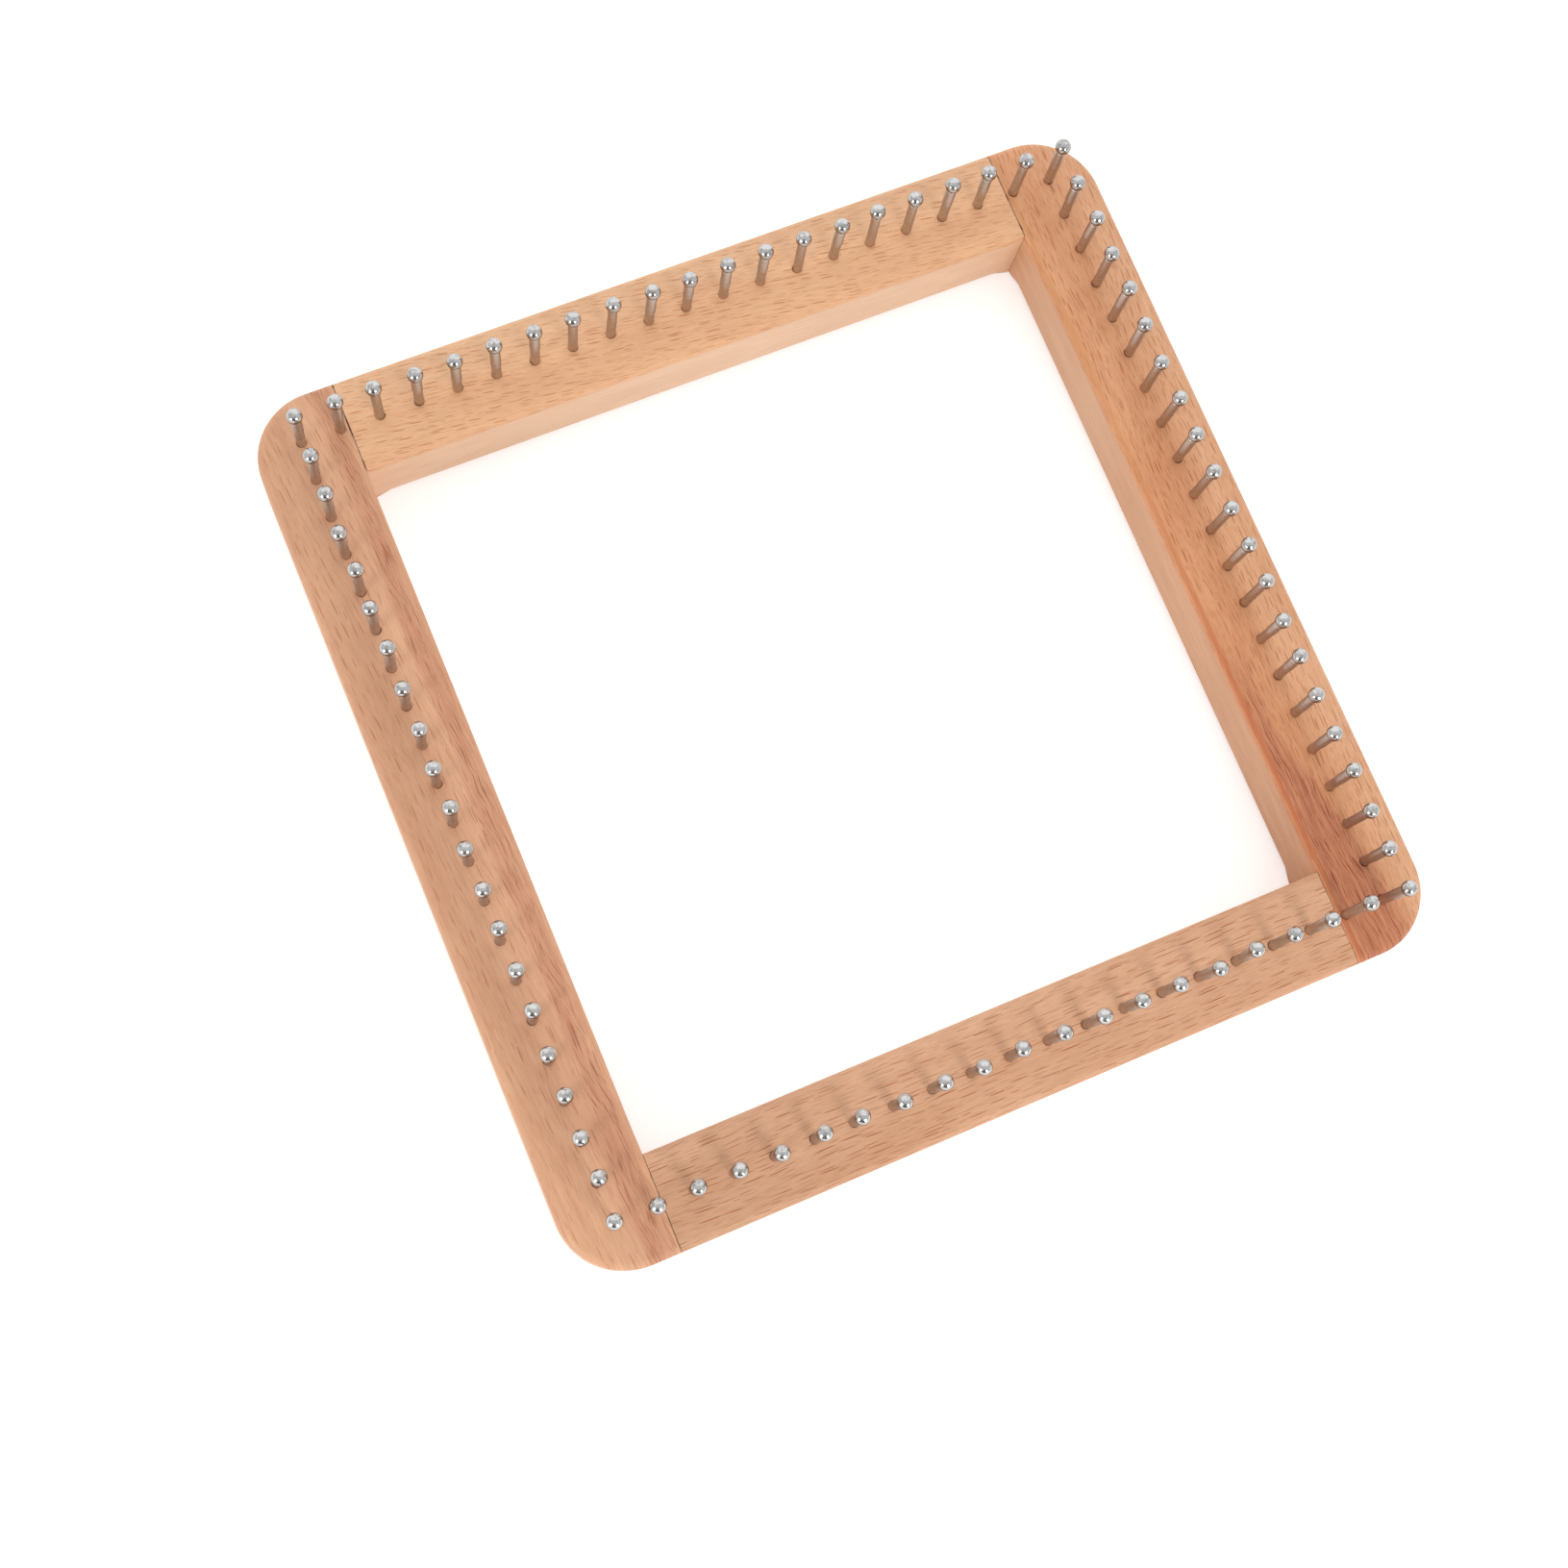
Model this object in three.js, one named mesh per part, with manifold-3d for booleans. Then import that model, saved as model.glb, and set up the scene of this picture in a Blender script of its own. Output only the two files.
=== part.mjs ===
// Knitting board: a square beech frame with a row of ball-headed steel pins standing on each side.
// Millimetres. +X runs along the rails, +Y along the stiles and +Z the way the pins stand.
// The origin is the middle of the board on its underside.

import * as THREE from "three";
import { mergeVertices } from "three/addons/utils/BufferGeometryUtils.js";
import Module from "manifold-3d";

const wasm = await Module();
wasm.setup();

// The pin rows
const pinsPerSide = 21;
const pinPitch = 10;

// The wooden frame
const memberWidth = 24;
const boardThickness = 21.5;
const cornerRadius = 17;
const roundOver = 2; // on the outer edges, and on the window's edge at the face
const backRoundOver = 3.5; // on the window's edge at the back
const bearingRadius = 5.5; // of the router bits, which turn the round-overs inside the window's corners
const glueLine = 0.1; // between a rail's end and the stile beside it

// A pin
const shaftDiameter = 2.4;
const tipChamfer = 0.4;
const ballDiameter = 3.9;
const ballHeight = 17.3; // of the ball's centre over the face
const pinDepth = 9; // of the shaft below the face
const socketClearance = 0.3; // round and under a pin in its hole

// Pins of one member stand in short runs on a common tie, which lies in the wood at their feet
const pinsPerRun = 2;
const tieWidth = 1.2;
const tieHeight = 1.2;

// A corner joint is held by a pair of dowels, one on each side of the pin row
const dowelDiameter = 6;
const dowelChamfer = 0.6;
const dowelClearance = 0.3;
const dowelToSocket = 0.2; // wood left between a dowel's hole and the column of pin holes

// The faceting of round stretches
const cornerSteps = 5; // a shape's arc takes twice as many facets
const roundOverSteps = 3;
const pinSides = 8;
const ballSteps = 2; // from the neck to the ball's equator, and from there to its top
const dowelSides = 12;
const cutterRun = 1; // how far a straight cutter runs past the face that it opens
const routerRun = 0.02; // how far the round-over cutter runs past a face
const routerGap = 0.05; // how far its shank stays off the window's walls

// Worked out from the sizes above
const rowHalf = ((pinsPerSide - 1) * pinPitch) / 2;
const boardHalf = rowHalf + memberWidth / 2;
const windowHalf = rowHalf - memberWidth / 2;
const socketRadius = shaftDiameter / 2 + socketClearance;
const dowelHoleDepth = memberWidth / 2 - socketRadius - dowelToSocket;
const dowelReach = dowelHoleDepth - dowelClearance;
const dowelOffset = (memberWidth / 2 + socketRadius) / 2; // from the pin row to a dowel's axis

const stileBeech = new THREE.MeshStandardMaterial({ color: 0xd39a72, roughness: 0.62, metalness: 0 });
const railBeech = new THREE.MeshStandardMaterial({ color: 0xdeaa7e, roughness: 0.6, metalness: 0 });
const dowelBeech = new THREE.MeshStandardMaterial({ color: 0xd8b48c, roughness: 0.8, metalness: 0 });
const pinSteel = new THREE.MeshStandardMaterial({ color: 0xb9bcc2, roughness: 0.28, metalness: 1 });

// Turns a closed three.js geometry into a solid that can be cut and joined.
function solidOf(geometry) {
  const bare = geometry.clone();
  bare.deleteAttribute("normal");
  bare.deleteAttribute("uv");
  const merged = mergeVertices(bare, 1e-4);
  const mesh = new wasm.Mesh({
    numProp: 3,
    vertProperties: merged.attributes.position.array,
    triVerts: new Uint32Array(merged.index.array),
  });
  return new wasm.Manifold(mesh);
}

// Turns a solid back into a three.js geometry.
function geometryOf(solid) {
  const { vertProperties, triVerts } = solid.getMesh();
  const geometry = new THREE.BufferGeometry();
  geometry.setAttribute("position", new THREE.BufferAttribute(vertProperties, 3));
  geometry.setIndex(new THREE.BufferAttribute(triVerts, 1));
  geometry.computeVertexNormals();
  return geometry;
}

function joined(solids) {
  return solids.reduce((sum, solid) => sum.add(solid));
}

// A block between two corners.
function block(low, high) {
  const size = new THREE.Vector3().subVectors(high, low);
  const middle = new THREE.Vector3().addVectors(low, high).multiplyScalar(0.5);
  return solidOf(new THREE.BoxGeometry(size.x, size.y, size.z).translate(middle.x, middle.y, middle.z));
}

function roundedSquare(half, radius) {
  const middle = half - radius;
  const shape = new THREE.Shape();
  [[1, 1], [-1, 1], [-1, -1], [1, -1]].forEach(([right, up], turn) => {
    shape.absarc(right * middle, up * middle, radius, (turn * Math.PI) / 2, ((turn + 1) * Math.PI) / 2);
  });
  return shape;
}

// The whole board as one plate with its outer edges rounded over.
function boardBlank() {
  const plate = new THREE.ExtrudeGeometry(roundedSquare(boardHalf, cornerRadius), {
    depth: boardThickness - 2 * roundOver,
    curveSegments: cornerSteps,
    bevelSegments: roundOverSteps,
    bevelThickness: roundOver,
    bevelSize: roundOver,
    bevelOffset: -roundOver,
  });
  return solidOf(plate.translate(0, 0, roundOver));
}

// The sweep of a round-over bit inside the window: it flares out towards both faces, and its
// bearing turns every corner on an arc, which leaves the window's extreme corners unrounded.
function routerSweep(radius) {
  const flare = radius + routerGap;
  const sweep = new THREE.ExtrudeGeometry(roundedSquare(windowHalf - routerGap, bearingRadius), {
    depth: boardThickness + 2 * routerRun - 2 * radius,
    curveSegments: cornerSteps,
    bevelSegments: roundOverSteps,
    bevelThickness: radius,
    bevelSize: -flare,
    bevelOffset: flare,
  });
  return solidOf(sweep.translate(0, 0, radius - routerRun));
}

// Two bits run round the window, each on its own half of the thickness: one from the face and a
// larger one from the back.
function windowRouter() {
  const low = new THREE.Vector3(-boardHalf, -boardHalf, boardThickness / 2);
  const high = new THREE.Vector3(boardHalf, boardHalf, boardThickness + cutterRun);
  const faceHalf = block(low, high);
  return routerSweep(roundOver).intersect(faceHalf).add(routerSweep(backRoundOver).subtract(faceHalf));
}

// The left stile's share of the board: its full height, with the two rounded corners.
function stileBlock() {
  const low = new THREE.Vector3(-boardHalf - cutterRun, -boardHalf - cutterRun, -cutterRun);
  const high = new THREE.Vector3(-windowHalf, boardHalf + cutterRun, boardThickness + cutterRun);
  return block(low, high);
}

// The top rail's share: the stretch between the stiles.
function railBlock() {
  const railHalf = windowHalf - glueLine;
  const low = new THREE.Vector3(-railHalf, windowHalf, -cutterRun);
  const high = new THREE.Vector3(railHalf, boardHalf + cutterRun, boardThickness + cutterRun);
  return block(low, high);
}

// One pin, turned about Z, with the face of the wood at z = 0.
function pin() {
  const shaftRadius = shaftDiameter / 2;
  const ballRadius = ballDiameter / 2;
  const neck = -Math.acos(shaftRadius / ballRadius);
  const profile = [
    new THREE.Vector2(0, -pinDepth),
    new THREE.Vector2(shaftRadius - tipChamfer, -pinDepth),
    new THREE.Vector2(shaftRadius, -pinDepth + tipChamfer),
  ];
  for (let step = -ballSteps; step < ballSteps; step++) {
    const angle = (step / ballSteps) * (step < 0 ? -neck : Math.PI / 2);
    profile.push(new THREE.Vector2(ballRadius * Math.cos(angle), ballHeight + ballRadius * Math.sin(angle)));
  }
  profile.push(new THREE.Vector2(0, ballHeight + ballRadius));
  return solidOf(new THREE.LatheGeometry(profile, pinSides).rotateX(Math.PI / 2));
}

// The hole that a pin stands in, open at the face.
function socket() {
  const height = pinDepth + socketClearance + cutterRun;
  const hole = new THREE.CylinderGeometry(socketRadius, socketRadius, height, pinSides);
  return solidOf(hole.rotateX(Math.PI / 2).translate(0, 0, cutterRun - height / 2));
}

// The tie at the feet of a run of pins, or with a clearance the slot that it lies in.
function tie(count, clearance) {
  const foot = -pinDepth + tipChamfer;
  const length = (count - 1) * pinPitch;
  const low = new THREE.Vector3(0, -tieWidth / 2 - clearance, foot - clearance);
  const high = new THREE.Vector3(length, tieWidth / 2 + clearance, foot + tieHeight + clearance);
  return block(low, high);
}

// A run of pins along +X from the first one, or the sockets for it.
function run(count, single, clearance) {
  const solids = [];
  for (let i = 0; i < count; i++) {
    solids.push(single.translate([i * pinPitch, 0, 0]));
  }
  if (count > 1) {
    solids.push(tie(count, clearance));
  }
  return joined(solids);
}

// Where the runs of one member start, with how many pins each holds and the way it points.
function runsAlong(start, step, count, angle) {
  const runs = [];
  for (let done = 0; done < count; done += pinsPerRun) {
    const at = start.clone().addScaledVector(step, done);
    runs.push({ at, angle, count: Math.min(pinsPerRun, count - done) });
  }
  return runs;
}

// The end pins of the rows along X stand on the stiles, and the rest of each row on its rail.
const rowX = Array.from({ length: pinsPerSide }, (_, i) => i * pinPitch - rowHalf);
const endPins = rowX.filter((x) => x < -windowHalf).length;
const alongX = new THREE.Vector2(pinPitch, 0);
const downY = new THREE.Vector2(0, -pinPitch);
const stileRuns = [
  ...runsAlong(new THREE.Vector2(-rowHalf, rowHalf), alongX, endPins, 0),
  ...runsAlong(new THREE.Vector2(-rowHalf, rowHalf - pinPitch), downY, pinsPerSide - 2, -Math.PI / 2),
  ...runsAlong(new THREE.Vector2(-rowHalf, -rowHalf), alongX, endPins, 0),
];
const railRuns = runsAlong(new THREE.Vector2(rowX[endPins], rowHalf), alongX, pinsPerSide - 2 * endPins, 0);

// Every socket in the board. The right stile and the bottom rail are the left and the top one
// turned half round, and their sockets with them.
function allSockets() {
  const hole = socket();
  const half = [...stileRuns, ...railRuns].map(({ at, angle, count }) => {
    const turned = run(count, hole, socketClearance).rotate([0, 0, THREE.MathUtils.radToDeg(angle)]);
    return turned.translate([at.x, at.y, boardThickness]);
  });
  const sockets = joined(half);
  return sockets.add(sockets.rotate([0, 0, 180]));
}

// A dowel along X with its middle at the origin, or with a clearance the hole for it.
function dowel(clearance) {
  const radius = dowelDiameter / 2 + clearance;
  const reach = dowelReach + clearance;
  const profile = [
    new THREE.Vector2(0, -reach),
    new THREE.Vector2(radius - dowelChamfer, -reach),
    new THREE.Vector2(radius, -reach + dowelChamfer),
    new THREE.Vector2(radius, reach - dowelChamfer),
    new THREE.Vector2(radius - dowelChamfer, reach),
    new THREE.Vector2(0, reach),
  ];
  return solidOf(new THREE.LatheGeometry(profile, dowelSides).rotateZ(-Math.PI / 2));
}

// The four dowels of the left stile, by the joint that they hold and their side of the pin row.
const stileDowels = [1, -1].flatMap((end) =>
  [1, -1].map((side) => ({
    end,
    side,
    at: new THREE.Vector3(-windowHalf, end * (rowHalf + side * dowelOffset), boardThickness / 2),
  })),
);

function allDowelHoles() {
  const hole = dowel(dowelClearance);
  const half = joined(stileDowels.map(({ at }) => hole.translate([at.x, at.y, at.z])));
  return half.add(half.rotate([0, 0, 180]));
}

function named(name, geometry, material) {
  const mesh = new THREE.Mesh(geometry, material.clone());
  mesh.name = name;
  return mesh;
}

// The pins of one member, named after the side that it is on.
function pinMeshes(side, runs, shapes) {
  return runs.map(({ at, angle, count }, i) => {
    const mesh = named(`${side}_pins_${String(i + 1).padStart(2, "0")}`, shapes[count], pinSteel);
    mesh.position.set(at.x, at.y, boardThickness);
    mesh.rotation.z = angle;
    return mesh;
  });
}

const onePin = pin();
const runShapes = {};
for (let count = 1; count <= pinsPerRun; count++) {
  runShapes[count] = geometryOf(run(count, onePin, 0));
}

const blank = boardBlank();
const router = windowRouter();
const bores = allSockets().add(allDowelHoles());
const stileShape = geometryOf(blank.intersect(stileBlock()).subtract(router).subtract(bores));
const railShape = geometryOf(blank.intersect(railBlock()).subtract(router).subtract(bores));
const dowelShape = geometryOf(dowel(0));

const board = new THREE.Group();

for (const [side, turn] of [["left", 0], ["right", Math.PI]]) {
  const stile = new THREE.Group();
  stile.rotation.z = turn;
  stile.add(named(`${side}_stile`, stileShape, stileBeech));
  stile.add(...pinMeshes(side, stileRuns, runShapes));
  for (const dowelAt of stileDowels) {
    const end = dowelAt.end * Math.cos(turn) > 0 ? "top" : "bottom";
    const place = dowelAt.side > 0 ? "outer" : "inner";
    const mesh = named(`${end}_${side}_${place}_dowel`, dowelShape, dowelBeech);
    mesh.position.copy(dowelAt.at);
    stile.add(mesh);
  }
  board.add(stile);
}

for (const [side, turn] of [["top", 0], ["bottom", Math.PI]]) {
  const rail = new THREE.Group();
  rail.rotation.z = turn;
  rail.add(named(`${side}_rail`, railShape, railBeech));
  rail.add(...pinMeshes(side, railRuns, runShapes));
  board.add(rail);
}

export default board;
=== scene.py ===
import math

import bpy
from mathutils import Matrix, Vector


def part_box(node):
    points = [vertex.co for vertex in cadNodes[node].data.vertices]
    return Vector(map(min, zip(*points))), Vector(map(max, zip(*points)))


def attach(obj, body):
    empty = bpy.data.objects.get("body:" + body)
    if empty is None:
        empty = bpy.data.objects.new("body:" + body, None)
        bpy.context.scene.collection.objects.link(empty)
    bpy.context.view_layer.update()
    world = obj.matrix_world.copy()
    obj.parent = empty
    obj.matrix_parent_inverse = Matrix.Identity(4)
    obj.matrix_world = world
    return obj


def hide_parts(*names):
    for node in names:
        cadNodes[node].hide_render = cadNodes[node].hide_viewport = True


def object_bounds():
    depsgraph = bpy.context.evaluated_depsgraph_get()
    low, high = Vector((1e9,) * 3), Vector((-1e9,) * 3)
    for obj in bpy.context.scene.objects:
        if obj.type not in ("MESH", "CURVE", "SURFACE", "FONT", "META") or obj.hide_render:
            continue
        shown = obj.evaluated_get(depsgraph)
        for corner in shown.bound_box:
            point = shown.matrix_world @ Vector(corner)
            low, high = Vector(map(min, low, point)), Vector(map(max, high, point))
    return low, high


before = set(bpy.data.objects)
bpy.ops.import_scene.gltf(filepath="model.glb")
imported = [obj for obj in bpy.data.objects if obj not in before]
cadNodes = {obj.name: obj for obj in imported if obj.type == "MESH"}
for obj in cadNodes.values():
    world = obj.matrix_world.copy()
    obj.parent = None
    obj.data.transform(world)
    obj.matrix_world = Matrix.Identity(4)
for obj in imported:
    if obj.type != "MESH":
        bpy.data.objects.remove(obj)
cadLow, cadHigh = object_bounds()
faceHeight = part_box("top_rail")[1].z

# The rows of pins: the corners of a square and even steps between them.
pinLayout = {"pinsPerSide": 21, "pitch": 0.010}
rowAt = (pinLayout["pinsPerSide"] - 1) * pinLayout["pitch"] / 2
print("frame loaded:", len(cadNodes), "CAD nodes")


def linked(name, mesh):
    piece = bpy.data.objects.new(name, mesh)
    bpy.context.scene.collection.objects.link(piece)
    return piece


def meshFrom(name, points, faces):
    mesh = bpy.data.meshes.new(name)
    mesh.from_pydata(points, [], faces)
    mesh.update()
    return mesh


# Joins closed loops of equally many points, from the lowest to the highest, and caps both ends.
def stackLoops(name, loops):
    count = len(loops[0])
    points = [point for loop in loops for point in loop]
    faces = [tuple(reversed(range(count)))]
    for level in range(len(loops) - 1):
        low, high = level * count, (level + 1) * count
        for i in range(count):
            j = (i + 1) % count
            faces.append((low + i, low + j, high + j, high + i))
    top = (len(loops) - 1) * count
    faces.append(tuple(range(top, top + count)))
    return linked(name, meshFrom(name, points, faces))


# A profile of (radius, height) pairs turned about Z, closed by a pole at each end.
def latheMesh(name, profile, sides):
    points = [(0, 0, profile[0][1])]
    for radius, height in profile:
        for i in range(sides):
            angle = 2 * math.pi * i / sides
            points.append((radius * math.cos(angle), radius * math.sin(angle), height))
    points.append((0, 0, profile[-1][1]))
    faces = []
    for i in range(sides):
        j = (i + 1) % sides
        faces.append((0, 1 + j, 1 + i))
        for level in range(len(profile) - 1):
            low, high = 1 + level * sides, 1 + (level + 1) * sides
            faces.append((low + i, low + j, high + j, high + i))
        last = 1 + (len(profile) - 1) * sides
        faces.append((last + i, last + j, len(points) - 1))
    mesh = meshFrom(name, points, faces)
    mesh.shade_smooth()
    return mesh


# Bakes every modifier of a piece into its mesh.
def settle(piece):
    graph = bpy.context.evaluated_depsgraph_get()
    settled = bpy.data.meshes.new_from_object(
        piece.evaluated_get(graph), preserve_all_data_layers=True, depsgraph=graph)
    piece.modifiers.clear()
    piece.data = settled
    settled.name = piece.name


# Smooths what turns gently, keeps real edges sharp and leaves flat faces flat.
def softenShading(piece, sharpDegrees, flatWeight):
    piece.data.shade_smooth()
    piece.data.set_sharp_from_angle(angle=math.radians(sharpDegrees))
    normals = piece.modifiers.new("flatFaces", "WEIGHTED_NORMAL")
    normals.keep_sharp = True
    normals.weight = flatWeight
    settle(piece)


# Colours are given as on a screen, 0 to 255, and shaders want them linear.
def toLinear(red, green, blue):
    channels = [value / 255 for value in (red, green, blue)]
    return (*[c / 12.92 if c <= 0.04045 else ((c + 0.055) / 1.055) ** 2.4 for c in channels], 1.0)


# Adds a node; a socket given for one of its inputs is linked to it, and any other value is set on it.
def put(tree, kind, sockets=None, **settings):
    node = tree.nodes.new(kind)
    for key, value in settings.items():
        setattr(node, key, value)
    for key, value in (sockets or {}).items():
        if isinstance(value, bpy.types.NodeSocket):
            tree.links.new(value, node.inputs[key])
        else:
            node.inputs[key].default_value = value
    return node


def calc(tree, operation, *values):
    return put(tree, "ShaderNodeMath", dict(enumerate(values)), operation=operation).outputs[0]


def splitPlace(tree, vector):
    return put(tree, "ShaderNodeSeparateXYZ", {0: vector}).outputs


def joinPlace(tree, **parts):
    return put(tree, "ShaderNodeCombineXYZ", parts).outputs[0]


def lengthOf(tree, vector):
    return put(tree, "ShaderNodeVectorMath", {0: vector}, operation="LENGTH").outputs["Value"]


# Eases from 0 to 1, or between two other values, while a value goes from start to end.
def ease(tree, value, start, end, low=0.0, high=1.0):
    sockets = {"Value": value, "From Min": start, "From Max": end, "To Min": low, "To Max": high}
    node = put(tree, "ShaderNodeMapRange", sockets, interpolation_type="SMOOTHSTEP")
    return node.outputs["Result"]


def blendColour(tree, factor, first, second, mode="MIX"):
    sockets = {0: factor, 6: first, 7: second}
    return put(tree, "ShaderNodeMix", sockets, data_type="RGBA", blend_type=mode).outputs[2]


def flatNoise(tree, along, across, scaleAlong, scaleAcross, detail, shift, roughness=0.55):
    spot = joinPlace(tree, X=calc(tree, "MULTIPLY_ADD", along, scaleAlong, shift),
                     Y=calc(tree, "MULTIPLY_ADD", across, scaleAcross, shift))
    sockets = {"Vector": spot, "Scale": 1.0, "Detail": detail, "Roughness": roughness}
    return put(tree, "ShaderNodeTexNoise", sockets, noise_dimensions="2D").outputs["Fac"]


def solidNoise(tree, place, scale, detail, roughness=0.5):
    sockets = {"Vector": place, "Scale": scale, "Detail": detail, "Roughness": roughness}
    return put(tree, "ShaderNodeTexNoise", sockets).outputs["Fac"]


# Makes a node group's inputs and outputs, and returns the inputs' identifiers by name.
def makeSockets(tree, inputs, outputs):
    identifiers = {}
    for label, kind in inputs.items():
        socket = tree.interface.new_socket(name=label, in_out="INPUT", socket_type="NodeSocket" + kind)
        identifiers[label] = socket.identifier
    for label, kind in outputs.items():
        tree.interface.new_socket(name=label, in_out="OUTPUT", socket_type="NodeSocket" + kind)
    return identifiers


def shaderGroup(name, inputs, outputs):
    tree = bpy.data.node_groups.new(name, "ShaderNodeTree")
    makeSockets(tree, inputs, outputs)
    return tree, tree.nodes.new("NodeGroupInput").outputs, tree.nodes.new("NodeGroupOutput").inputs


def useGroup(tree, group, sockets):
    return put(tree, "ShaderNodeGroup", sockets, node_tree=group).outputs


# A material with the place on its piece, and the socket that its surface goes to.
def newMaterial(name):
    material = bpy.data.materials.new(name)
    material.use_nodes = True
    tree = material.node_tree
    tree.nodes.clear()
    place = put(tree, "ShaderNodeTexCoord").outputs["Object"]
    return material, tree, place, tree.nodes.new("ShaderNodeOutputMaterial").inputs["Surface"]


# The look gives the strength and the distance of the bump that the height makes.
def addSurface(tree, surface, look, height, sockets):
    bump = put(tree, "ShaderNodeBump", {
        "Height": height, "Strength": look["bumpStrength"], "Distance": look["bumpDistance"]})
    shader = put(tree, "ShaderNodeBsdfPrincipled", {"Normal": bump.outputs[0], **sockets})
    tree.links.new(shader.outputs[0], surface)


# A pair of shares is the range that each fleck's own share is drawn from. Within the soft edge a fleck
# fades out.
fleckShape = {
    "randomness": 0.95, "lengthShare": (0.25, 0.65), "widthShare": (0.35, 0.65), "slant": 0.06,
    "endPower": 1.6, "sidePower": 2.0, "softEdge": (0.60, 1.05), "depthShare": (0.45, 1.0),
    "fineReach": 0.70, "fineGap": 0.62, "fineLength": 0.70, "fineWidth": 0.70, "fineDepth": 0.45,
    "fineShift": (0.0137, 0.0071),
}


# One short dark fleck at most in each cell of a stretched lattice, drawn about the cell's own point.
def fleckLayer(tree, along, across, reach, gap, length, width, amount):
    shape = fleckShape
    cell = joinPlace(tree, X=calc(tree, "DIVIDE", along, reach), Y=calc(tree, "DIVIDE", across, gap))
    spots = put(tree, "ShaderNodeTexVoronoi", {
        "Vector": cell, "Scale": 1.0, "Randomness": shape["randomness"]}, voronoi_dimensions="2D").outputs
    chance = put(tree, "ShaderNodeSeparateColor", {0: spots["Color"]}).outputs
    away = put(tree, "ShaderNodeVectorMath", {0: spots["Position"], 1: cell}, operation="SUBTRACT")
    offset = splitPlace(tree, away.outputs[0])
    halfLength = calc(tree, "MULTIPLY", length, ease(tree, chance["Red"], 0.0, 1.0, *shape["lengthShare"]))
    halfWidth = calc(tree, "MULTIPLY", width, ease(tree, chance["Green"], 0.0, 1.0, *shape["widthShare"]))
    slant = calc(tree, "MULTIPLY", calc(tree, "SUBTRACT", chance["Green"], 0.5), shape["slant"])
    offsetU = calc(tree, "MULTIPLY", offset["X"], reach)
    offsetV = calc(tree, "MULTIPLY_ADD", offsetU, slant, calc(tree, "MULTIPLY", offset["Y"], gap))
    farU = calc(tree, "ABSOLUTE", calc(tree, "DIVIDE", offsetU, halfLength))
    farV = calc(tree, "ABSOLUTE", calc(tree, "DIVIDE", offsetV, halfWidth))
    farU = calc(tree, "POWER", farU, shape["endPower"])
    farV = calc(tree, "POWER", farV, shape["sidePower"])
    inside = ease(tree, calc(tree, "ADD", farU, farV), *shape["softEdge"], 1.0, 0.0)
    keep = calc(tree, "LESS_THAN", chance["Blue"], amount)
    depth = ease(tree, chance["Red"], 0.0, 1.0, *shape["depthShare"])
    return calc(tree, "MULTIPLY", calc(tree, "MULTIPLY", inside, keep), depth)


# Each noise is given by its scales along and across the grain, its detail and its shift, and each range
# by the noise's values where an effect starts and is full, and by the effect's values there if not 0 and 1.
grainNoise = {
    "wander": (22, 60, 1.0, 3.1), "drift": (26, 120, 3.0, 7.7), "bands": (4.0, 480, 2.0, 1.3),
    "streaks": (48, 900, 3.0, 5.5), "strokes": (170, 2600, 2.0, 8.8), "fibres": (110, 4200, 2.0, 0.4),
}
grainRange = {
    "drift": (0.28, 0.72), "bands": (0.40, 0.75, 0.0, 0.35), "streaks": (0.50, 0.74),
    "strokes": (0.52, 0.70), "fibres": (0.25, 0.75, 0.94, 1.05),
}
grainShape = {
    "wander": 0.0022,  # of the fibres to the side, at most
    "pithDepth": 0.016,  # of the growth rings' middle below the board
    "pithSlope": 0.035,
    "strokeStrength": 0.24, "fibreLift": 0.6,
}


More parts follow.
